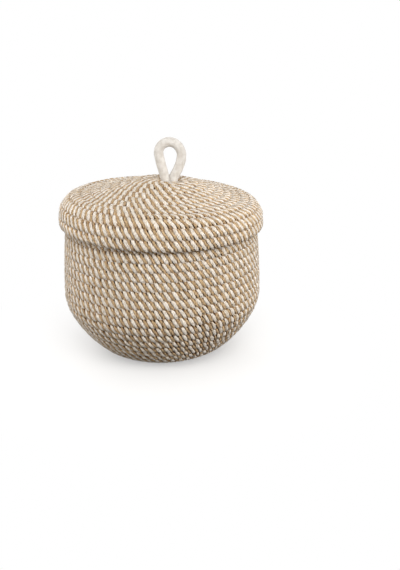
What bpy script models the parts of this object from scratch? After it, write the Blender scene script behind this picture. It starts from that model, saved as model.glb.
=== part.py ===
"""A lidded basket coiled from twisted cord, with a cotton cord loop through the lid.

One cord spirals out across the base, up the bowl and in to a neck. A second cord spirals out
over the lid, which caps the neck and lifts straight off. A thicker, softer cord makes the loop:
its two legs go down through the eye of the lid and turn out under the first rows.
Metres, +Z up, standing on z = 0, with the photographed side toward -Y.
"""
import math

import bmesh
import bpy
from mathutils import Matrix, Vector

# Driving dimensions: cords
cord_diameter = 0.0078
lid_cord_diameter = 0.0078
loop_cord_diameter = 0.0090
body_row_gap = 0.0007
lid_row_gap = 0.0013
points_per_turn = 21
cord_bevel_resolution = 1
loop_bevel_resolution = 2
flat_depth_share = 0.1

# Driving dimensions: body meridian, as runs along the cord's centreline with the heading each
# run ends on, measured up from level
base_eye_radius = 0.0092
base_flat_radius = 0.0368
heel_run = 0.032
heel_heading = math.radians(42.0)
bowl_run = 0.042
bowl_heading = math.radians(65.5)
belly_run = 0.0165
belly_heading = math.radians(91.0)
wall_run = 0.0542
wall_heading = math.radians(95.8)
shoulder_run = 0.010
shoulder_heading = math.radians(118.0)
neck_run = 0.0155
neck_heading = math.radians(108.0)
body_end_share = 0.25
base_bend_inside = 0.0008

# Driving dimensions: lid meridian, from the eye outward, headings below level negative
lid_overhang = 0.0041
lid_seat_gap = 0.0001
lid_eye_gap = 0.0005
lid_lead_gap = 0.0008
lid_eye_heading = math.radians(5.0)
dish_run = 0.0187
dish_heading = math.radians(-12.0)
crown_heading = math.radians(-14.0)
brow_run = 0.021
brow_heading = math.radians(-9.5)
curl_run = 0.008
curl_heading = math.radians(-17.0)
lid_shoulder_run = 0.021
lid_shoulder_heading = math.radians(-80.0)
skirt_run = 0.0097
skirt_heading = math.radians(-84.0)
lid_end_share = 0.75
lid_eye_offset = 0.0072
lid_oval = 0.0006
lid_roll = math.radians(1.8)
lid_pitch = math.radians(0.8)

# Driving dimensions: loop, from its top down one leg, headings measured from level
loop_height = 0.0375
loop_top_run = 0.0171
loop_top_heading = math.radians(-90.0)
loop_draw_run = 0.010
loop_draw_heading = math.radians(-110.0)
loop_close_run = 0.0103
loop_close_heading = math.radians(-90.0)
loop_leg_gap = 0.00096
loop_tail_gap = 0.0001
loop_tail_bend_radius = 0.0068
loop_tail_run = 0.0100
loop_shift_y = -0.0026
loop_steps = 26

# Finish
body_colour = (0.66, 0.50, 0.34, 1.0)
lid_colour = (0.68, 0.52, 0.36, 1.0)
loop_colour = (0.80, 0.75, 0.67, 1.0)
cord_roughness = 0.9
loop_roughness = 0.95



def arc(length, first, last):
    """Where an arc ends that bends evenly from one heading to another."""
    bend = last - first
    if bend == 0.0:
        return length * math.cos(first), length * math.sin(first)
    across = length * (math.sin(last) - math.sin(first)) / bend
    return across, length * (math.cos(first) - math.cos(last)) / bend


def reach(heading, runs):
    """How far across and up a chain of arcs gets."""
    across = 0.0
    up = 0.0
    for length, end_heading in runs:
        step = arc(length, heading, end_heading)
        across += step[0]
        up += step[1]
        heading = end_heading
    return across, up


def whole_turns(total, pitch, end_share):
    """The most turns that fit a length and end at a share of a turn."""
    return math.floor(total / pitch - end_share) + end_share


# Body: the first cord, from the edge of its eye to the end of its neck
base_bend_radius = cord_diameter * 0.5 + base_bend_inside
body_runs = (
    (base_flat_radius - base_eye_radius, 0.0),
    (heel_run, heel_heading),
    (bowl_run, bowl_heading),
    (belly_run, belly_heading),
    (wall_run, wall_heading),
    (shoulder_run, shoulder_heading),
    (neck_run, neck_heading),
)
body_length = sum(length for length, heading in body_runs)
body_turns = whole_turns(body_length, cord_diameter + body_row_gap, body_end_share)
body_row_pitch = body_length / body_turns
wall_top_radius = base_eye_radius + reach(0.0, body_runs[:5])[0]

# Loop: its legs draw together until they pass side by side through the eye of the lid
loop_leg_place = (loop_cord_diameter + loop_leg_gap) * 0.5
loop_bow_runs = ((loop_top_run, loop_top_heading), (loop_draw_run, loop_draw_heading))
loop_bow_reach = reach(0.0, loop_bow_runs)
loop_close_reach = arc(loop_close_run, loop_draw_heading, loop_close_heading)
loop_leg_across = loop_bow_reach[0] + loop_close_reach[0] - loop_leg_place
loop_leg_run = -loop_leg_across / math.cos(loop_draw_heading)
loop_tail_depth = (lid_cord_diameter + loop_cord_diameter) * 0.5 + loop_tail_gap
loop_leg_drop = loop_leg_run * math.sin(loop_draw_heading)
loop_drop = loop_bow_reach[1] + loop_leg_drop + loop_close_reach[1] - loop_tail_bend_radius
loop_eye_run = lid_cord_diameter * 0.5 + loop_height + loop_tail_depth + loop_drop
loop_runs = loop_bow_runs + (
    (loop_leg_run, loop_draw_heading),
    (loop_close_run, loop_close_heading),
    (loop_eye_run, loop_close_heading),
    (loop_tail_bend_radius * math.pi / 2.0, 0.0),
    (loop_tail_run, 0.0),
)

# Lid: its eye goes round the loop's legs, and its crown is as long as brings the edge out over
# the body's wall. Heights are measured here from the edge.
lid_eye_radius = loop_leg_place + (loop_cord_diameter + lid_cord_diameter) * 0.5 + lid_eye_gap
lid_bend_radius = loop_shift_y + lid_eye_radius - loop_leg_place - lid_eye_gap + lid_lead_gap
lid_edge_radius = wall_top_radius + lid_overhang
dish_reach = arc(dish_run, lid_eye_heading, dish_heading)
lid_side_runs = (
    (brow_run, brow_heading),
    (curl_run, curl_heading),
    (lid_shoulder_run, lid_shoulder_heading),
    (skirt_run, skirt_heading),
)
lid_side_reach = reach(crown_heading, lid_side_runs)
crown_across = lid_edge_radius - lid_eye_radius - dish_reach[0] - lid_side_reach[0]
crown_run = crown_across / arc(1.0, dish_heading, crown_heading)[0]
lid_runs = ((dish_run, dish_heading), (crown_run, crown_heading)) + lid_side_runs
lid_length = sum(length for length, heading in lid_runs)
lid_turns = whole_turns(lid_length, lid_cord_diameter + lid_row_gap, lid_end_share)
lid_row_pitch = lid_length / lid_turns
lid_eye_height = -reach(lid_eye_heading, lid_runs)[1]


def clear_scene():
    """Remove what the file opened with."""
    for item in list(bpy.data.objects):
        bpy.data.objects.remove(item, do_unlink=True)
    for group in list(bpy.data.collections):
        bpy.data.collections.remove(group)


def new_collection(name):
    """Add a collection to the scene."""
    group = bpy.data.collections.new(name)
    bpy.context.scene.collection.children.link(group)
    return group


def new_material(name, colour, roughness):
    """Make a plain Principled material."""
    material = bpy.data.materials.new(name)
    material.use_nodes = True
    shader = material.node_tree.nodes["Principled BSDF"]
    shader.inputs["Base Color"].default_value = colour
    shader.inputs["Roughness"].default_value = roughness
    shader.inputs["Metallic"].default_value = 0.0
    return material


def station(run, start, runs):
    """Where a chain of arcs, each bending evenly to its end heading, has got to after a length."""
    across, up, heading = start
    left = run
    for length, end_heading in runs:
        step = min(left, length)
        bend = (end_heading - heading) / length
        if abs(bend * step) < 1e-9:
            across += step * math.cos(heading)
            up += step * math.sin(heading)
        else:
            turned = heading + bend * step
            across += (math.sin(turned) - math.sin(heading)) / bend
            up -= (math.cos(turned) - math.cos(heading)) / bend
        heading += bend * step
        left -= step
        if left <= 0.0:
            return across, up, heading
    across += left * math.cos(heading)
    up += left * math.sin(heading)
    return across, up, heading


def bend_in(radius, bend_radius, height, diameter, sense):
    """A cord's start: straight for one diameter, then a quarter bend onto the coil's radius."""
    steps = 4
    middle = radius - bend_radius
    lead = [Vector((middle - diameter, -sense * bend_radius, height))]
    for index in range(steps):
        turn = -math.pi / 2.0 + math.pi / 2.0 * index / steps
        across = middle + bend_radius * math.cos(turn)
        lead.append(Vector((across, sense * bend_radius * math.sin(turn), height)))
    return lead


def finish_straight(points, beyond, diameter):
    """End a cord straight for one diameter, heading for the point that would come next."""
    heading = (beyond - points[-1]).normalized()
    return points + [points[-1] + heading * diameter]


def body_path():
    """Centreline of the body's cord: its start, flat base, bowl, wall and neck.

    With it goes the turn of the cord's section that keeps its corners toward the next rows.
    """
    height = cord_diameter * 0.5 - cord_diameter * flat_depth_share
    start = (base_eye_radius, height, 0.0)
    coil = []
    turns = []
    count = round(body_turns * points_per_turn)
    for index in range(count + 2):
        share = index / points_per_turn
        radius, up, heading = station(body_row_pitch * share, start, body_runs)
        angle = 2.0 * math.pi * share
        coil.append(Vector((radius * math.cos(angle), radius * math.sin(angle), up)))
        turns.append(-heading)
    lead = bend_in(base_eye_radius, base_bend_radius, height, cord_diameter, 1.0)
    points = finish_straight(lead + coil[:-1], coil[-1], cord_diameter)
    return points, [0.0] * len(lead) + turns


def tilt(points):
    """Lean points about the middle of the lid's edge, a little to the right and to the front."""
    lean = Matrix.Rotation(lid_roll, 4, "Y") @ Matrix.Rotation(lid_pitch, 4, "X")
    return [lean @ point for point in points]


def raised(path, height):
    """A path lifted to its height."""
    points, turns = path
    return [point + Vector((0.0, 0.0, height)) for point in points], turns


def along_chords(points, samples):
    """Points spread evenly along every chord of a path."""
    spread = []
    for first, second in zip(points, points[1:]):
        for index in range(samples):
            spread.append(first.lerp(second, index / samples))
    return spread + [points[-1]]


def seat_height(upper, lower, apart):
    """The height at which one path, let down onto another, comes to rest a distance from it."""
    samples = 4
    best = -math.inf
    above = along_chords(upper, samples)
    for low in along_chords(lower, samples):
        for high in above:
            aside = math.hypot(high.x - low.x, high.y - low.y)
            if aside < apart:
                best = max(best, low.z - high.z + math.sqrt(apart ** 2 - aside ** 2))
    return best


def lid_path():
    """Centreline of the lid's cord, from its start behind the loop's legs to the edge.

    Heights here and in the loop's path are above the edge; the lid is raised to its seat later.
    """
    start = (lid_eye_radius, lid_eye_height, lid_eye_heading)
    coil = []
    turns = []
    count = round(lid_turns * points_per_turn)
    for index in range(count + 2):
        share = index / points_per_turn
        radius, up, heading = station(lid_row_pitch * share, start, lid_runs)
        angle = -2.0 * math.pi * share
        fade = 1.0 - min(index / count, 1.0)
        across = radius * math.cos(angle) + lid_eye_offset * fade
        along = (radius - lid_oval * fade) * math.sin(angle)
        coil.append(Vector((across, along, up)))
        turns.append(heading)
    lead = bend_in(lid_eye_radius, lid_bend_radius, lid_eye_height, lid_cord_diameter, -1.0)
    lead = [point + Vector((lid_eye_offset, 0.0, 0.0)) for point in lead]
    points = tilt(finish_straight(lead + coil[:-1], coil[-1], lid_cord_diameter))
    return points, [lid_eye_heading] * len(lead) + turns


def loop_path():
    """Centreline of the loop's cord, from one tail over the top to the other."""
    total = sum(length for length, heading in loop_runs)
    top = lid_eye_height + lid_cord_diameter * 0.5 + loop_height
    half = []
    for index in range(loop_steps + 1):
        across, up, heading = station(total * index / loop_steps, (0.0, 0.0, 0.0), loop_runs)
        half.append((across, top + up))
    left = [Vector((lid_eye_offset - across, loop_shift_y, up)) for across, up in reversed(half)]
    right = [Vector((lid_eye_offset + across, loop_shift_y, up)) for across, up in half[1:]]
    points = tilt(left + right)
    return points, [0.0] * len(points)


def segment_gap(first, second, third, fourth):
    """Least distance between two straight stretches, sampled along both."""
    samples = 4
    best = math.inf
    for i in range(samples + 1):
        here = first.lerp(second, i / samples)
        for j in range(samples + 1):
            there = third.lerp(fourth, j / samples)
            best = min(best, (here - there).length)
    return best


def least_gap(points, diameter, skip):
    """Least clear gap between a cord and its own later stretches."""
    best = math.inf
    for i in range(len(points) - 1):
        for j in range(i + skip, len(points) - 1):
            if (points[i] - points[j]).length > diameter * 3.0:
                continue
            gap = segment_gap(points[i], points[i + 1], points[j], points[j + 1])
            best = min(best, gap)
    return best - diameter


def cord(name, path, diameter, resolution, twist, material, group):
    """A cord as a poly curve with a round bevel and filled ends."""
    points, turns = path
    data = bpy.data.curves.new(name, "CURVE")
    data.dimensions = "3D"
    data.twist_mode = twist
    data.bevel_depth = diameter * 0.5
    data.bevel_resolution = resolution
    data.use_fill_caps = True
    spline = data.splines.new("POLY")
    spline.points.add(len(points) - 1)
    for target, point, turn in zip(spline.points, points, turns):
        target.co = (point.x, point.y, point.z, 1.0)
        target.tilt = turn
    data.materials.append(material)
    item = bpy.data.objects.new(name, data)
    group.objects.link(item)
    return item


def as_mesh(item, group):
    """Replace a curve object by its mesh, with the end caps welded on."""
    bpy.context.view_layer.update()
    graph = bpy.context.evaluated_depsgraph_get()
    mesh = bpy.data.meshes.new_from_object(item.evaluated_get(graph))
    work = bmesh.new()
    work.from_mesh(mesh)
    bmesh.ops.remove_doubles(work, verts=work.verts, dist=cord_diameter * 0.001)
    work.to_mesh(mesh)
    work.free()
    name = item.name
    place = item.matrix_world.copy()
    bpy.data.objects.remove(item, do_unlink=True)
    result = bpy.data.objects.new(name, mesh)
    result.data.name = name
    result.matrix_world = place
    mesh.shade_smooth()
    mesh.set_sharp_from_angle(angle=math.radians(70.0))
    group.objects.link(result)
    return result


def floor_box(group):
    """The box under z = 0 that cuts the standing rows flat, wider than their heel."""
    bpy.ops.mesh.primitive_cube_add(size=1.0, location=(0.0, 0.0, -cord_diameter * 0.5))
    box = bpy.context.active_object
    box.name = "floor_cutter"
    width = (base_flat_radius + heel_run) * 2.0
    box.scale = (width, width, cord_diameter)
    box.hide_render = True
    box.display_type = "WIRE"
    for holder in list(box.users_collection):
        holder.objects.unlink(box)
    group.objects.link(box)
    return box


def cut_flat(item, cutter):
    """Take away what reaches below the floor."""
    cut = item.modifiers.new("flat foot", "BOOLEAN")
    cut.operation = "DIFFERENCE"
    cut.solver = "EXACT"
    cut.object = cutter


def build():
    clear_scene()
    parts = new_collection("knitting_basket")
    cutters = new_collection("cutters")
    body_material = new_material("body cord", body_colour, cord_roughness)
    lid_material = new_material("lid cord", lid_colour, cord_roughness)
    loop_material = new_material("loop cord", loop_colour, loop_roughness)

    path = body_path()
    body_points = path[0]
    body = cord("body_coil", path, cord_diameter, cord_bevel_resolution, "Z_UP",
                body_material, parts)
    body = as_mesh(body, parts)
    cut_flat(body, floor_box(cutters))
    gap = least_gap(path[0], cord_diameter, points_per_turn // 2)
    print("body coil least gap to itself, mm:", round(gap * 1000.0, 3))

    path = lid_path()
    apart = (cord_diameter + lid_cord_diameter) * 0.5 + lid_seat_gap
    height = seat_height(path[0], body_points, apart)
    path = raised(path, height)
    lid = cord("lid_coil", path, lid_cord_diameter, cord_bevel_resolution, "Z_UP",
               lid_material, parts)
    lid = as_mesh(lid, parts)
    gap = least_gap(path[0], lid_cord_diameter, points_per_turn // 2)
    print("lid coil least gap to itself, mm:", round(gap * 1000.0, 3))

    path = raised(loop_path(), height)
    loop = cord("lid_loop", path, loop_cord_diameter, loop_bevel_resolution, "MINIMUM",
                loop_material, parts)
    loop = as_mesh(loop, parts)
    gap = least_gap(path[0], loop_cord_diameter, loop_steps // 2)
    print("loop least gap to itself, mm:", round(gap * 1000.0, 3))

    lid_frame = bpy.data.objects.new("lid_lift_axis", None)
    parts.objects.link(lid_frame)
    for item in (lid, loop):
        item.parent = lid_frame


build()
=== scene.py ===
"""Knitting basket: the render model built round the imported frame.

Both coils of the frame are replaced by cords laid from four strands, two of white cotton and two
of tan plant fibre, which follow the same coils, and the loop by a soft cotton cord. Lengths are
in metres.
"""
import math
from collections import namedtuple

import bpy
import numpy as np
from mathutils import Euler, Matrix, Vector


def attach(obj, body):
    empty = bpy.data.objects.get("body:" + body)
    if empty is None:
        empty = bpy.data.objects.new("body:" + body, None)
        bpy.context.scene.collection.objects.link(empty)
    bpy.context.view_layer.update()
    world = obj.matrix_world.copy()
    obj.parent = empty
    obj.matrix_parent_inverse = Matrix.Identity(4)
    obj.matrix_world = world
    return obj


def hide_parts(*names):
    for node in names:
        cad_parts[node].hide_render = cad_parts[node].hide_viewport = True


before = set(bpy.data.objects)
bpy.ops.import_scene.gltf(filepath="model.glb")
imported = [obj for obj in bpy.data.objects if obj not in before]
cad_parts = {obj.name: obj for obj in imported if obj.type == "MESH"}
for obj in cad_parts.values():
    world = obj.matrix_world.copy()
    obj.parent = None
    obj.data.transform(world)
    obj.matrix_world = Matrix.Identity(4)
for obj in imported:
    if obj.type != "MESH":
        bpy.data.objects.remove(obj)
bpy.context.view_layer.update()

# Body coil. Its meridian is a chain of runs, each with the heading in degrees that it bends to.
# The cord is at its eye's radius at BODY_START turns, after a tail inside the eye
BASE_RADIUS = 0.0368
BODY_EYE_RADIUS = 0.0045
BODY_EYE_HEIGHT = 0.0037
BODY_EYE_HEADING = 0.0
BODY_RUNS = (
    (BASE_RADIUS - BODY_EYE_RADIUS, 0.0),
    (0.0320, 42.0),
    (0.0420, 65.5),
    (0.0165, 91.0),
    (0.0542, 95.8),
    (0.0100, 124.0),
    (0.0155, 108.0),
)
BODY_START = -0.48
BODY_TAIL = 0.40
BODY_TURNS = 23.25
BODY_SAMPLES = 24000
BODY_WALL_BANDS = 82.0
BODY_DRIFT_SEED = 3
# Turns between which the rows close up, from the open ones of the bottom to those of the wall
BODY_CLOSES_UP = (11.0, 19.0)

# Lid coil, from its eye out to its edge. A tail inside the eye comes before the first turn, and
# the cord dips there up to LID_DIP_END turns. The eye lies off the middle, and the lid leans
LID_EYE_RADIUS = 0.0068
LID_EYE_HEIGHT = 0.1683
LID_EYE_HEADING = 10.0
LID_RUNS = (
    (0.0258, -16.0),
    (0.0222, -16.5),
    (0.0210, -11.5),
    (0.0064, -4.0),
    (0.0224, -84.5),
    (0.0099, -95.5),
)
LID_START = -0.45
LID_TURNS = 11.75
LID_SAMPLES = 13000
LID_EYE_X = 0.0070
LID_EYE_Y = -0.0025
LID_DIP = 0.012
LID_DIP_END = 0.15
LID_LEAN_RIGHT = math.radians(2.15)
LID_LEAN_FORWARD = math.radians(0.95)
LID_PIVOT = 0.1305
LID_LEAST_BANDS = 4.0
LID_EYE_BANDS = 5.5
LID_BANDS_PER_TURN = 8.0
LID_WALL_BANDS = 84.0
LID_DRIFT_SEED = 4
# Turns between which the rows open, from the close ones of the crown to those of the side
LID_OPENS = (5.5, 8.5)

# A laid cord: half of its section out of the coil's surface and along the meridian, the way from
# row to row, how much slower its bands cross a face, where its first strand starts, its light
# level, which dims its fibres' tones as painted shade, lower on the body in the lid's shade, and
# the seed of its first strand
Cord = namedtuple("Cord", "name out side pitch ease phase level seed")
BODY_CORD = Cord(
    "body", out=0.00385, side=0.00520, pitch=0.00843, ease=0.32, phase=0.4, level=0.955, seed=11)
LID_CORD = Cord(
    "lid", out=0.00405, side=0.00560, pitch=sum(run[0] for run in LID_RUNS) / LID_TURNS,
    ease=0.48, phase=1.1, level=1.0, seed=31)

# A strand's fibre: half of the angle that it fills, how much that widens on the faces, its share
# of the cord's size, its light, middle, dark and fleck tones, how strong its specks are, how wide
# the painted shade in its holes is, and its bump
Fibre = namedtuple("Fibre", "colour stuff half_angle widening size tones specks hole bump")
WHITE = Fibre(
    "white", "cotton", half_angle=math.radians(50.0), widening=0.10, size=1.0,
    tones=((0.92, 0.885, 0.842), (0.87, 0.825, 0.775), (0.70, 0.63, 0.55), (0.76, 0.68, 0.56)),
    specks=0.7, hole=0.0012, bump=0.7)
TAN = Fibre(
    "tan", "plant fibre", half_angle=math.radians(41.0), widening=0.0, size=0.965,
    tones=((0.74, 0.555, 0.345), (0.62, 0.44, 0.255), (0.38, 0.25, 0.13), (0.42, 0.275, 0.15)),
    specks=1.0, hole=0.0019, bump=1.0)

# Lay: the way in which the strands go once round their cord, and how much that way drifts
STRANDS = 4
STRAND_TURN = 2.0 * math.pi / STRANDS
LAY = 0.01430
LAY_DRIFT = 0.011
DRIFTS_PER_TURN = 3.0
RINGS_PER_LAY = 14
# Power of the rounded square that a pressed cord's section is
SQUARENESS = 4.2

# One ring of a strand: places across it, over the face from edge to edge and back inside, and how
# far out from the cord's middle each lies
RING_ACROSS = np.array([-1.0, -0.78, -0.42, 0.0, 0.42, 0.78, 1.0, 0.55, -0.55])
RING_DEPTH = np.array([0.78, 0.94, 0.99, 1.0, 0.99, 0.94, 0.78, 0.34, 0.34])
RING_FACE = RING_DEPTH > RING_DEPTH[-1]
RING_EDGE = (1.0 - RING_DEPTH) / (1.0 - RING_DEPTH[0])

# Unevenness along a strand: how much, and the rings from one knot of the noise to the next
WANDER = (0.09, 40)
WIDTH_WAVES = ((0.07, 22), (0.20, 2))
SWELL_WAVES = ((0.025, 18), (0.02, 2))
LUMP_WAVES = ((0.055, 2),)
NOISE_OCTAVES = 3
NOISE_FALL = 0.6
NOISE_PEAK = 1.6

# How wide rows press where they lie closest, how much less at the bottom, and how much of the
# bands' ease is lost there
SNUG = 1.02
SNUG_LOST = 0.05
EASE_LOST = 1.6

# Holes where a strand's edge meets the next row, dented in and darkened with painted shade. Open
# rows have deeper ones, larger at the bottom, and the painted shade shows little where rows lie
# closest
HOLE_DEPTH = 0.30
HOLE_REACH = 0.0009
HOLE_LEAST = 0.25
HOLE_GAIN = 1.5
HOLE_WIDENING = 0.45
HOLE_SHADE_HIDING = 0.0012
HOLE_SHADE_NARROWEST = 0.4

# Painted shade in the grooves: that along a strand's edges, which darkens by the next row and at
# the bottom, and that along the row's edge
STRAND_GROOVE_SHADE = 0.18
GROOVE_SHADE_BY_ROW = 0.80
GROOVE_SHADE_AT_BOTTOM = 0.50
ROW_GROOVE_SHADE = 0.16
ROW_GROOVE_SHADE_AT_BOTTOM = 0.10
ROW_GROOVE_SHADE_FROM = 0.70

# Ends: every strand closes in a cap, and each cord's last stretch thins and draws in towards the
# row before it
CAP = 0.0025
CAP_DEPTH = 0.6
TUCK = 0.022
TUCK_THINS = 0.35
TUCK_DRAWS = 0.0018
# Power of a change that starts gently
GENTLE = 1.5

# Pattern coordinates: how far out a strand's own run is measured, the pattern's width as a share
# of the strand's, and its shift from strand to strand
TWINE_RUN_AT = 0.8
TWINE_WIDTH = 0.6
TWINE_SHIFT = 0.37

# Loop: its middle line, from one tail over the top to the other
LOOP_ROUTE = (
    (-0.0105, -0.0026, 0.1570),
    (-0.0045, -0.0026, 0.1572),
    (0.0012, -0.0026, 0.1588),
    (0.0038, -0.0027, 0.1635),
    (0.0044, -0.0028, 0.1683),
    (0.0043, -0.0029, 0.1722),
    (0.0032, -0.0030, 0.1776),
    (0.0004, -0.0030, 0.1882),
    (-0.0012, -0.0030, 0.1950),
    (-0.0016, -0.0028, 0.1995),
    (0.0000, -0.0026, 0.2039),
    (0.0037, -0.0024, 0.2072),
    (0.0087, -0.0022, 0.2084),
    (0.0138, -0.0022, 0.2070),
    (0.0177, -0.0022, 0.2033),
    (0.0199, -0.0022, 0.1984),
    (0.0200, -0.0021, 0.1936),
    (0.0190, -0.0020, 0.1888),
    (0.0164, -0.0020, 0.1822),
    (0.0134, -0.0021, 0.1769),
    (0.0121, -0.0022, 0.1730),
    (0.0119, -0.0024, 0.1682),
    (0.0124, -0.0026, 0.1635),
    (0.0155, -0.0026, 0.1588),
    (0.0210, -0.0026, 0.1572),
    (0.0270, -0.0026, 0.1570),
)
LOOP_RADIUS = 0.00455
LOOP_SAMPLES = 24
LOOP_STEP = 0.0006
LOOP_SIDES = 40
LOOP_SEED = 5
LOOP_SWELL = ((0.018, 12),)
LOOP_LOBES = 6
LOOP_LOBE_SIZE = 0.010
LOOP_LOBE_STEP = 6
LOOP_CAP = 0.002
LOOP_CAP_LEAST = 0.0004

# Materials
YARN_TWIST = (0.0, 0.0, math.radians(-24.0))
FIBRE_RELIEF = 0.6
BUMP_DISTANCE = 0.0005
MIX_FACTOR, MIX_FIRST, MIX_SECOND, MIX_RESULT = 0, 6, 7, 2
PLAIN_WHITE = (1.0, 1.0, 1.0)

# Stage and lamps: each lamp's name, place, the height that it is aimed at, width, watts and colour
FLOOR_SIZE = 12.0
FLOOR_HEIGHT = -0.0004
LAMPS = (
    ("front", (0.15, -1.29, 1.07), 0.13, 1.2, 16.8, (1.0, 0.99, 0.97)),
    ("right", (1.42, -0.66, 0.22), 0.12, 0.8, 17.6, (1.0, 0.985, 0.96)),
    ("left", (-1.38, -0.52, 0.34), 0.10, 0.8, 10.4, (1.0, 0.99, 0.98)),
    ("back", (-0.30, 1.57, 0.38), 0.10, 1.2, 17.0, (1.0, 0.99, 0.98)),
)

# Camera at the photograph's place: how far it looks down, and to the right of straight ahead
CAMERA_PLACE = (0.0, -0.677115, 0.306227)
CAMERA_DOWN = math.radians(19.70481)
CAMERA_RIGHT = math.radians(3.19832)
CAMERA_LENS = 44.632
CAMERA_FRAME = 36.0
CAMERA_CLIP = (0.01, 50.0)


def running_total(steps):
    """The sums of the steps so far, from nought."""
    return np.concatenate([[0.0], np.cumsum(steps)])


def between(values, first, last):
    """From 0 at the first value to 1 at the last one, and level outside them."""
    return np.clip((values - first) / (last - first), 0.0, 1.0)


def unit(rows):
    """Each row as a direction of length one."""
    return rows / np.linalg.norm(rows, axis=1, keepdims=True)


def smooth_noise(count, step, rng):
    """Even noise from about -1 to 1 along a line, with a knot each so many steps."""
    total = np.zeros(count)
    size = 1.0
    for _ in range(NOISE_OCTAVES):
        knots = rng.uniform(-1.0, 1.0, int(count / step) + 4)
        at = np.arange(count) / step
        low = at.astype(int)
        t = at - low
        t = t * t * (3.0 - 2.0 * t)
        total += size * (knots[low] * (1.0 - t) + knots[low + 1] * t)
        size *= NOISE_FALL
        step = max(step * 0.5, 1.0)
    return total / NOISE_PEAK


def uneven(count, waves, rng):
    """Factors near one along a line, from waves that each say how much and their step."""
    factors = np.ones(count)
    for amount, step in waves:
        factors = factors + amount * smooth_noise(count, step, rng)
    return factors


def follow_meridian(run, radius, height, heading, runs):
    """Radius, height and heading at each run along a chain of evenly bending arcs.

    Before its start the line goes level towards the middle, and after its end straight on.
    """
    spare, fine = 0.03, 0.0001
    heading = math.radians(heading)
    along, angle = [0.0], [heading]
    for length, end in (*runs, (spare, runs[-1][1])):
        end = math.radians(end)
        count = int(math.ceil(length / fine))
        steps = np.arange(1, count + 1)
        along += list(along[-1] + length * steps / count)
        angle += list(heading + (end - heading) * steps / count)
        heading = end
    along, angle = np.array(along), np.array(angle)
    step = np.diff(along)
    middle = (angle[1:] + angle[:-1]) * 0.5
    radii = radius + running_total(step * np.cos(middle))
    heights = height + running_total(step * np.sin(middle))
    return (np.interp(run, along, radii) + np.minimum(run, 0.0),
            np.interp(run, along, heights), np.interp(run, along, angle))


def outer_side(heading, theta):
    """Directions square to a meridian, to its outer and lower side where it climbs outward."""
    return np.stack(
        [np.sin(heading) * np.cos(theta), np.sin(heading) * np.sin(theta), -np.cos(heading)],
        axis=1,
    )


def in_even_steps(spacing, points, *extras):
    """The way gone at even steps of a route, then the route and the extras there."""
    gone = running_total(np.linalg.norm(np.diff(points, axis=0), axis=1))
    at = np.linspace(0.0, gone[-1], int(gone[-1] / spacing) + 1)

    def taken(values):
        if values.ndim == 1:
            return np.interp(at, gone, values)
        return np.stack([taken(column) for column in values.T], axis=1)

    return [at] + [taken(values) for values in (points, *extras)]


def directions_across(route, outward):
    """Directions square to a route: one nearest to outward, and one to the side."""
    ahead = unit(np.gradient(route, axis=0))
    out = unit(outward - ahead * np.sum(outward * ahead, axis=1, keepdims=True))
    return out, np.cross(ahead, out)


# A cord's middle line: its points, the directions across it, its turns, the bands of each colour
# that a turn has there, how open its rows lie, from 0 to 1, and the way gone
Line = namedtuple("Line", "route out side turn bands loose gone")


def laid_line(points, outward, turn, bands, loose, seed):
    """The line that a laid cord's strands follow. Its lay drifts from row to row."""
    per_turn = len(turn) / (turn[-1] - turn[0])
    rng = np.random.default_rng(seed)
    bands = bands * (1.0 + LAY_DRIFT * smooth_noise(len(turn), per_turn / DRIFTS_PER_TURN, rng))
    gone, route, outward, turn, bands, loose = in_even_steps(
        LAY / RINGS_PER_LAY, points, outward, turn, bands, loose)
    out, side = directions_across(route, outward)
    return Line(route, out, side, turn, bands, loose[:, None], gone)


def body_coil():
    """From the middle of the base out, up the wall and in to the neck."""
    turn = np.linspace(BODY_START - BODY_TAIL, BODY_TURNS, BODY_SAMPLES)
    radius, height, heading = follow_meridian(
        (turn - BODY_START) * BODY_CORD.pitch,
        BODY_EYE_RADIUS, BODY_EYE_HEIGHT, BODY_EYE_HEADING, BODY_RUNS)
    theta = 2.0 * math.pi * turn
    points = np.stack([radius * np.cos(theta), radius * np.sin(theta), height], axis=1)
    bands = np.maximum.accumulate(2.0 * math.pi * radius / (LAY * 0.5))
    bands = np.minimum(bands, BODY_WALL_BANDS)
    loose = 1.0 - 0.5 * between(turn, *BODY_CLOSES_UP)
    return laid_line(points, outer_side(heading, theta), turn, bands, loose, BODY_DRIFT_SEED)


def lean(points):
    """Points of the lid as it leans, turned about a point on the axis."""
    pivot = Matrix.Translation((0.0, 0.0, LID_PIVOT))
    turned = Matrix.Rotation(LID_LEAN_RIGHT, 4, "Y") @ Matrix.Rotation(LID_LEAN_FORWARD, 4, "X")
    place = np.array(pivot @ turned @ pivot.inverted())
    return points @ place[:3, :3].T + place[:3, 3]


def lid_coil():
    """From the eye out to the edge, wound the other way than the body."""
    turn = np.linspace(LID_START, LID_TURNS, LID_SAMPLES)
    radius, height, heading = follow_meridian(
        turn * LID_CORD.pitch, LID_EYE_RADIUS, LID_EYE_HEIGHT, LID_EYE_HEADING, LID_RUNS)
    height = height - LID_DIP * between(turn, LID_DIP_END, LID_START) ** GENTLE
    theta = -2.0 * math.pi * turn
    fade = (1.0 - np.clip(turn, 0.0, None) / LID_TURNS) ** 2
    x = radius * np.cos(theta) + LID_EYE_X * fade
    y = radius * np.sin(theta) + LID_EYE_Y * fade
    points = lean(np.stack([x, y, height], axis=1))
    bands = np.minimum(LID_EYE_BANDS + LID_BANDS_PER_TURN * turn, LID_WALL_BANDS)
    bands = np.maximum(bands, LID_LEAST_BANDS)
    loose = 0.5 * between(turn, *LID_OPENS)
    return laid_line(points, -outer_side(heading, theta), turn, bands, loose, LID_DRIFT_SEED)


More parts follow.
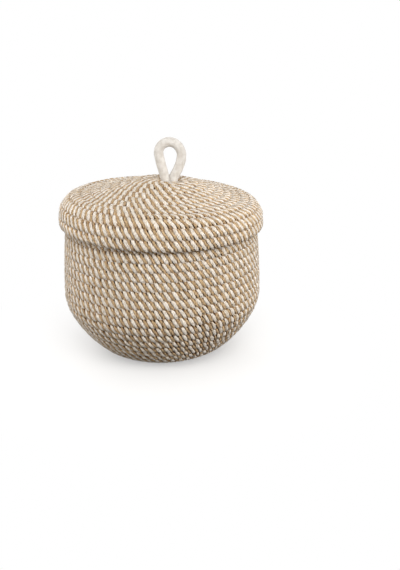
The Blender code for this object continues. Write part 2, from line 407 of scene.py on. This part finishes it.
def make_tube(name, route, out, side, near, aside, **attributes):
    """A smooth tube from each ring's offsets out and to the side, with named values on it."""
    verts = (
        route[:, None, :]
        + out[:, None, :] * near[:, :, None]
        + side[:, None, :] * aside[:, :, None]
    ).reshape(-1, 3)
    # The base's rows are pressed flat on what the basket stands on
    verts[:, 2] = np.maximum(verts[:, 2], 0.0)
    rings, around = near.shape
    ring = np.arange(rings - 1)[:, None] * around
    first = np.arange(around)[None, :]
    second = (first + 1) % around
    faces = np.stack(
        [ring + first, ring + second, ring + around + second, ring + around + first], axis=2
    ).reshape(-1, 4)
    mesh = bpy.data.meshes.new(name)
    mesh.vertices.add(len(verts))
    mesh.vertices.foreach_set("co", verts.astype(np.float32).ravel())
    mesh.loops.add(faces.size)
    mesh.loops.foreach_set("vertex_index", faces.astype(np.int32).ravel())
    mesh.polygons.add(len(faces))
    mesh.polygons.foreach_set("loop_start", np.arange(0, faces.size, 4, dtype=np.int32))
    mesh.update(calc_edges=True)
    mesh.validate()
    mesh.shade_smooth()
    for key, values in attributes.items():
        kind, field = ("FLOAT", "value") if values.ndim == 2 else ("FLOAT_VECTOR", "vector")
        layer = mesh.attributes.new(key, kind, "POINT")
        layer.data.foreach_set(field, values.astype(np.float32).ravel())
    item = bpy.data.objects.new(name, mesh)
    bpy.context.scene.collection.objects.link(item)
    return item


def rounded_ends(gone, cap, least=0.0):
    """Factors that close both ends of a tube in a round cap."""
    left = np.minimum(gone, gone[-1] - gone)
    return np.sqrt(np.clip(left / cap, least, 1.0))[:, None]


def rope_section(angle, depth, sizes):
    """Offsets out of the surface and along its meridian of a pressed cord's rounded square."""
    cos, sin = np.cos(angle), np.sin(angle)
    even = (np.abs(cos) ** SQUARENESS + np.abs(sin) ** SQUARENESS) ** (-1.0 / SQUARENESS)
    return cos * even * depth * sizes[0], sin * even * depth * sizes[1]


def strand(cord, line, fibre, order, rng):
    """One strand of a laid cord, as a closed tube that winds round the cord's middle line."""
    count = len(line.route)
    sizes = (cord.out * fibre.size, cord.side * fibre.size)
    bottom = 2.0 * np.maximum(line.loose - 0.5, 0.0)
    closest = np.clip(1.0 - 2.0 * line.loose, 0.0, 1.0)

    # The strand's middle and edges, as angles round the cord
    centre = math.pi * running_total(np.diff(line.turn) * (line.bands[1:] + line.bands[:-1]) * 0.5)
    centre = centre + cord.phase + order * STRAND_TURN
    centre = centre + WANDER[0] * smooth_noise(count, WANDER[1], rng)
    width = fibre.half_angle * (1.0 + fibre.widening * np.cos(2.0 * centre))
    width = width * uneven(count, WIDTH_WAVES, rng)
    swell = uneven(count, SWELL_WAVES, rng)
    angle = centre[:, None] + width[:, None] * RING_ACROSS
    ease = cord.ease * (1.0 - EASE_LOST * bottom)
    angle = angle - 0.5 * ease * np.sin(2.0 * angle)
    centre = centre - 0.5 * ease[:, 0] * np.sin(2.0 * centre)

    # Ways to the row's edge and to the strand's edge, which are both short at a hole
    snug = SNUG - SNUG_LOST * line.loose
    reach = snug * np.abs(rope_section(angle, 1.0, sizes)[1]) / (cord.pitch * 0.5)
    seam = np.zeros((*angle.shape, 3))
    seam[:, :, 0] = np.clip(1.0 - reach, 0.0, 1.0) * cord.pitch * 0.5
    seam[:, :, 1] = (1.0 - np.abs(RING_ACROSS)) * (width * sizes[1])[:, None]
    seam[:, :, :2] *= (1.0 - HOLE_WIDENING * bottom)[:, :, None]
    hole = np.exp(-np.sum((seam / HOLE_REACH) ** 2, axis=2))
    hole = hole * np.minimum(HOLE_LEAST + HOLE_GAIN * line.loose, 1.0)
    # The painted shade in the holes shows little where rows lie closest
    seam[:, :, 2] = HOLE_SHADE_HIDING * closest

    # Offsets of each ring's points
    lumps = np.stack([uneven(count, LUMP_WAVES, rng) for _ in RING_ACROSS], axis=1)
    depth = RING_DEPTH * lumps - HOLE_DEPTH * hole * RING_FACE
    near, aside = rope_section(angle, swell[:, None] * depth, sizes)
    aside = aside * snug
    cap_near, cap_aside = rope_section(centre[:, None], CAP_DEPTH, sizes)
    close = rounded_ends(line.gone, CAP)
    near = cap_near + (near - cap_near) * close
    aside = cap_aside + (aside - cap_aside) * close
    tuck = np.clip(1.0 - (line.gone[-1] - line.gone) / TUCK, 0.0, 1.0)[:, None] ** GENTLE
    near = near * (1.0 - TUCK_THINS * tuck)
    aside = aside * (1.0 - TUCK_THINS * tuck) + TUCK_DRAWS * tuck

    # Values for the material: the run along and across the strand, and painted shade in the
    # grooves
    twine = np.zeros((*angle.shape, 3))
    twine[:, :, 0] = running_total(
        np.hypot(np.diff(line.gone), sizes[1] * TWINE_RUN_AT * np.diff(centre)))[:, None]
    twine[:, :, 1] = RING_ACROSS * sizes[1] * fibre.half_angle * TWINE_WIDTH
    twine[:, :, 2] = order * TWINE_SHIFT
    row = between(reach, ROW_GROOVE_SHADE_FROM, 1.0) ** 2
    groove = RING_EDGE ** GENTLE * (
        STRAND_GROOVE_SHADE + GROOVE_SHADE_BY_ROW * row + GROOVE_SHADE_AT_BOTTOM * bottom)
    groove = groove + (ROW_GROOVE_SHADE + ROW_GROOVE_SHADE_AT_BOTTOM * bottom) * row
    return make_tube(
        f"{cord.name}_{fibre.colour}_{order // 2 + 1}", line.route, line.out, line.side,
        near, aside, twine=twine, groove=np.clip(groove, 0.0, 1.0), seam=seam)


def fill(tree, made, inputs):
    """Links each of a node's inputs to a socket, or sets it to a value."""
    for key, value in inputs.items():
        if isinstance(value, bpy.types.NodeSocket):
            tree.links.new(value, made.inputs[key])
        else:
            made.inputs[key].default_value = value


def node(tree, kind, inputs=None, **properties):
    """A new node with its properties and inputs."""
    made = tree.nodes.new(kind)
    for key, value in properties.items():
        setattr(made, key, value)
    fill(tree, made, inputs or {})
    return made


def new_material(name):
    """A material, its nodes and its shader."""
    material = bpy.data.materials.new(name)
    material.use_nodes = True
    return material, material.node_tree, material.node_tree.nodes["Principled BSDF"]


def noise(tree, vector, scale, detail, roughness=0.5):
    return node(tree, "ShaderNodeTexNoise", {
        "Vector": vector, "Scale": scale, "Detail": detail, "Roughness": roughness,
    }).outputs["Fac"]


def ramp(tree, source, *stops):
    """A colour that follows a value through stops, each a place and its colour."""
    made = node(tree, "ShaderNodeValToRGB", {"Fac": source})
    elements = made.color_ramp.elements
    while len(elements) < len(stops):
        elements.new(0.5)
    for element, (place, colour) in zip(elements, stops):
        element.position = place
        element.color = (*colour, 1.0)
    return made.outputs["Color"]


def mix(tree, kind, factor, first, second):
    """Two colours blended or multiplied, each a socket or a colour."""
    return node(
        tree, "ShaderNodeMix", {MIX_FACTOR: factor, MIX_FIRST: first, MIX_SECOND: second},
        data_type="RGBA", blend_type=kind).outputs[MIX_RESULT]


def bump(tree, height, strength):
    return node(tree, "ShaderNodeBump", {
        "Height": height, "Strength": strength, "Distance": BUMP_DISTANCE,
    }).outputs["Normal"]


def fibre_material(cord, fibre):
    """A strand of fine twisted fibres: streaks that run with a slow twist, and painted shade in
    its grooves and holes.
    """
    # The cord's light level dims every tone as painted shade, the body's more as the lid shades it
    light, mid, dark, fleck = (
        tuple(cord.level * part for part in tone) for tone in fibre.tones)
    material, tree, shader = new_material(f"{cord.name} {fibre.colour} {fibre.stuff}")
    twine = node(tree, "ShaderNodeAttribute", attribute_name="twine").outputs["Vector"]
    # Yarns lie slantwise in the strand, so the pattern's axes are turned against it
    slanted = node(
        tree, "ShaderNodeMapping", {"Vector": twine, "Rotation": YARN_TWIST}).outputs["Vector"]
    yarn = node(tree, "ShaderNodeTexWave", {
        "Vector": slanted, "Scale": 140.0, "Distortion": 1.2, "Detail": 1.0, "Detail Scale": 2.0,
    }, wave_type="BANDS", bands_direction="Y").outputs["Fac"]
    stretched = node(tree, "ShaderNodeMapping", {
        "Vector": twine, "Rotation": YARN_TWIST, "Scale": (260.0, 2600.0, 1.0),
    }).outputs["Vector"]
    fibres = noise(tree, stretched, scale=1.0, detail=3.0, roughness=0.6)
    streaks = ramp(tree, fibres, (0.30, dark), (0.48, mid), (0.66, light))
    patches = noise(tree, twine, scale=90.0, detail=2.0)
    flecks = ramp(tree, patches, (0.56, (0.0, 0.0, 0.0)), (0.72, PLAIN_WHITE))
    colour = mix(tree, "MIX", flecks, streaks, (*fleck, 1.0))
    lines = ramp(tree, yarn, (0.0, (0.62, 0.54, 0.43)), (0.45, PLAIN_WHITE))
    colour = mix(tree, "MULTIPLY", 1.0, colour, lines)
    grain = noise(tree, twine, scale=650.0, detail=3.0, roughness=0.7)
    specks = ramp(
        tree, grain, (0.36, (0.30, 0.23, 0.16)), (0.46, (0.97, 0.96, 0.94)),
        (0.60, (1.12, 1.12, 1.12)))
    colour = mix(tree, "MULTIPLY", fibre.specks, colour, specks)
    # Painted shade: darker in the grooves, the more so by the next row and towards the bottom
    groove = node(tree, "ShaderNodeAttribute", attribute_name="groove").outputs["Fac"]
    shade = ramp(
        tree, groove, (0.12, PLAIN_WHITE), (0.34, (0.80, 0.66, 0.49)),
        (0.75, (0.16, 0.09, 0.045)))
    colour = mix(tree, "MULTIPLY", 1.0, colour, shade)
    # Painted shade in small holes of uneven width where a strand's edge meets the next row
    seam = node(tree, "ShaderNodeAttribute", attribute_name="seam").outputs["Vector"]
    reach = node(tree, "ShaderNodeVectorMath", {0: seam}, operation="LENGTH").outputs["Value"]
    radius = node(tree, "ShaderNodeMapRange", {
        "Value": noise(tree, twine, scale=150.0, detail=1.0), "From Min": 0.35, "From Max": 0.65,
        "To Min": HOLE_SHADE_NARROWEST * fibre.hole, "To Max": fibre.hole,
    }).outputs["Result"]
    inside = node(tree, "ShaderNodeMath", {0: reach, 1: radius}, operation="DIVIDE").outputs[0]
    hole_shade = ramp(
        tree, inside, (0.45, (0.12, 0.07, 0.04)), (0.75, (0.55, 0.42, 0.30)), (1.0, PLAIN_WHITE))
    colour = mix(tree, "MULTIPLY", 1.0, colour, hole_shade)
    relief = node(
        tree, "ShaderNodeMath", {0: fibres, 1: FIBRE_RELIEF, 2: yarn},
        operation="MULTIPLY_ADD").outputs[0]
    fill(tree, shader, {
        "Base Color": colour, "Roughness": 0.92, "Specular IOR Level": 0.06,
        "Sheen Weight": 0.15, "Sheen Roughness": 0.5, "Normal": bump(tree, relief, fibre.bump),
    })
    return material


def laid_cord(cord, line, body, cad_node):
    """The four strands of a cord, in the place of a coil of the frame."""
    materials = {fibre: fibre_material(cord, fibre) for fibre in (WHITE, TAN)}
    for order in range(STRANDS):
        fibre = (WHITE, TAN)[order % 2]
        item = strand(cord, line, fibre, order, np.random.default_rng(cord.seed + order))
        item.data.materials.append(materials[fibre])
        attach(item, body)
        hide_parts(cad_node)


laid_cord(BODY_CORD, body_coil(), "basket", "body_coil")
laid_cord(LID_CORD, lid_coil(), "lid", "lid_coil")


def curve_through(knots, samples):
    """A smooth route through points, by a Catmull-Rom chain."""
    knots = np.array(knots)
    knots = np.vstack([2.0 * knots[0] - knots[1], knots, 2.0 * knots[-1] - knots[-2]])
    t = np.linspace(0.0, 1.0, samples, endpoint=False)[:, None]
    route = []
    for a, b, c, d in zip(knots, knots[1:], knots[2:], knots[3:]):
        route.append(0.5 * (2.0 * b + (c - a) * t + (2.0 * a - 5.0 * b + 4.0 * c - d) * t ** 2
                            + (3.0 * b - a - 3.0 * c + d) * t ** 3))
    return np.vstack(route + [knots[-2][None, :]])


def loop_cord():
    """One soft round cord, a little uneven, from one tail over the top to the other."""
    gone, route = in_even_steps(LOOP_STEP, curve_through(LOOP_ROUTE, LOOP_SAMPLES))
    count = len(route)
    out, side = directions_across(route, np.tile([0.0, -1.0, 0.0], (count, 1)))
    angle = 2.0 * math.pi * np.arange(LOOP_SIDES) / LOOP_SIDES
    rng = np.random.default_rng(LOOP_SEED)
    swell = uneven(count, LOOP_SWELL, rng)
    ripples = [smooth_noise(count, LOOP_LOBE_STEP, rng)[:, None] for _ in range(LOOP_LOBES)]
    lobes = sum(
        ripple * np.cos(angle * (waves + 1) + waves) for waves, ripple in enumerate(ripples))
    radius = LOOP_RADIUS * (swell[:, None] + LOOP_LOBE_SIZE * lobes)
    radius = radius * rounded_ends(gone, LOOP_CAP, LOOP_CAP_LEAST)
    return make_tube(
        "lid_loop_cord", route, out, side, np.cos(angle) * radius, np.sin(angle) * radius)


def felt_material():
    """Brushed cotton: a soft nap, in faintly clouded tones."""
    material, tree, shader = new_material("brushed cotton")
    place = node(tree, "ShaderNodeTexCoord").outputs["Object"]
    nap = noise(tree, place, scale=900.0, detail=4.0)
    cloud = noise(tree, place, scale=260.0, detail=4.0)
    tone = ramp(tree, cloud, (0.36, (0.53, 0.495, 0.455)), (0.62, (0.63, 0.605, 0.572)))
    fill(tree, shader, {
        "Base Color": tone, "Roughness": 0.95, "Specular IOR Level": 0.08,
        "Sheen Weight": 0.25, "Sheen Roughness": 0.6, "Normal": bump(tree, nap, strength=0.7),
    })
    return material


loop = loop_cord()
loop.data.materials.append(felt_material())
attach(loop, "lid")
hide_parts("lid_loop")


def background_rays(tree):
    """One for rays that show the background: from the eye, off gloss or through glass."""
    rays = node(tree, "ShaderNodeLightPath").outputs
    total = rays["Is Camera Ray"]
    for ray in ("Is Glossy Ray", "Is Transmission Ray"):
        total = node(
            tree, "ShaderNodeMath", {0: total, 1: rays[ray]}, operation="MAXIMUM").outputs[0]
    return total


def stage_material():
    """A white floor that keeps the shadow near the object and turns plain white further off."""
    material, tree, shader = new_material("floor")
    eye = background_rays(tree)
    # To the eye the floor is white, and it throws little light back up
    seen = mix(tree, "MIX", eye, (0.10, 0.095, 0.09, 1.0), (0.95, 0.95, 0.95, 1.0))
    fill(tree, shader, {"Base Color": seen, "Roughness": 1.0, "Specular IOR Level": 0.0})
    place = node(tree, "ShaderNodeTexCoord").outputs["Object"]
    far = node(tree, "ShaderNodeVectorMath", {0: place}, operation="LENGTH").outputs["Value"]
    whiter = node(tree, "ShaderNodeMapRange", {
        "Value": far, "From Min": 0.02, "From Max": 0.22, "To Min": 0.30,
    }, interpolation_type="SMOOTHSTEP").outputs["Result"]
    share = node(tree, "ShaderNodeMath", {0: whiter, 1: eye}, operation="MULTIPLY").outputs[0]
    white = node(tree, "ShaderNodeEmission").outputs["Emission"]
    both = node(tree, "ShaderNodeMixShader", {0: share, 1: shader.outputs["BSDF"], 2: white})
    fill(tree, tree.nodes["Material Output"], {"Surface": both.outputs["Shader"]})
    return material


bpy.ops.mesh.primitive_plane_add(size=FLOOR_SIZE, location=(0.0, 0.0, FLOOR_HEIGHT))
floor = bpy.context.active_object
floor.name = "floor"
floor.data.materials.append(stage_material())


def studio_world():
    """Soft light that is stronger from above, on a white ground."""
    world = bpy.data.worlds.new("studio")
    bpy.context.scene.world = world
    world.use_nodes = True
    tree = world.node_tree
    light = tree.nodes["Background"]
    place = node(tree, "ShaderNodeTexCoord").outputs["Generated"]
    up = node(tree, "ShaderNodeSeparateXYZ", {0: place}).outputs["Z"]
    level = node(tree, "ShaderNodeMapRange", {
        "Value": up, "To Min": 0.45, "To Max": 0.72,
    }).outputs["Result"]
    fill(tree, light, {"Color": (1.0, 0.99, 0.97, 1.0), "Strength": level})
    white = node(tree, "ShaderNodeBackground", {"Color": (*PLAIN_WHITE, 1.0)})
    both = node(tree, "ShaderNodeMixShader", {
        0: background_rays(tree), 1: light.outputs["Background"], 2: white.outputs["Background"],
    })
    fill(tree, tree.nodes["World Output"], {"Surface": both.outputs["Shader"]})


studio_world()


def lamp(name, place, aimed_at, size, power, colour):
    """A round soft lamp aimed at a height on the object's axis."""
    data = bpy.data.lights.new(name, "AREA")
    data.shape = "DISK"
    data.size = size
    data.energy = power
    data.color = colour
    item = bpy.data.objects.new(name, data)
    bpy.context.scene.collection.objects.link(item)
    item.location = place
    aim = Vector((0.0, 0.0, aimed_at)) - Vector(place)
    item.rotation_euler = aim.to_track_quat("-Z", "Y").to_euler()


for settings in LAMPS:
    lamp(*settings)

camera_data = bpy.data.cameras.new("camera")
camera_data.sensor_fit = "VERTICAL"
camera_data.sensor_height = CAMERA_FRAME
camera_data.lens = CAMERA_LENS
camera_data.clip_start, camera_data.clip_end = CAMERA_CLIP
camera = bpy.data.objects.new("camera", camera_data)
bpy.context.scene.collection.objects.link(camera)
turn = Euler((math.pi / 2.0 - CAMERA_DOWN, 0.0, -CAMERA_RIGHT)).to_matrix()
camera.matrix_world = Matrix.Translation(CAMERA_PLACE) @ turn.to_4x4()
bpy.context.scene.camera = camera
bpy.context.scene.view_settings.view_transform = "Standard"
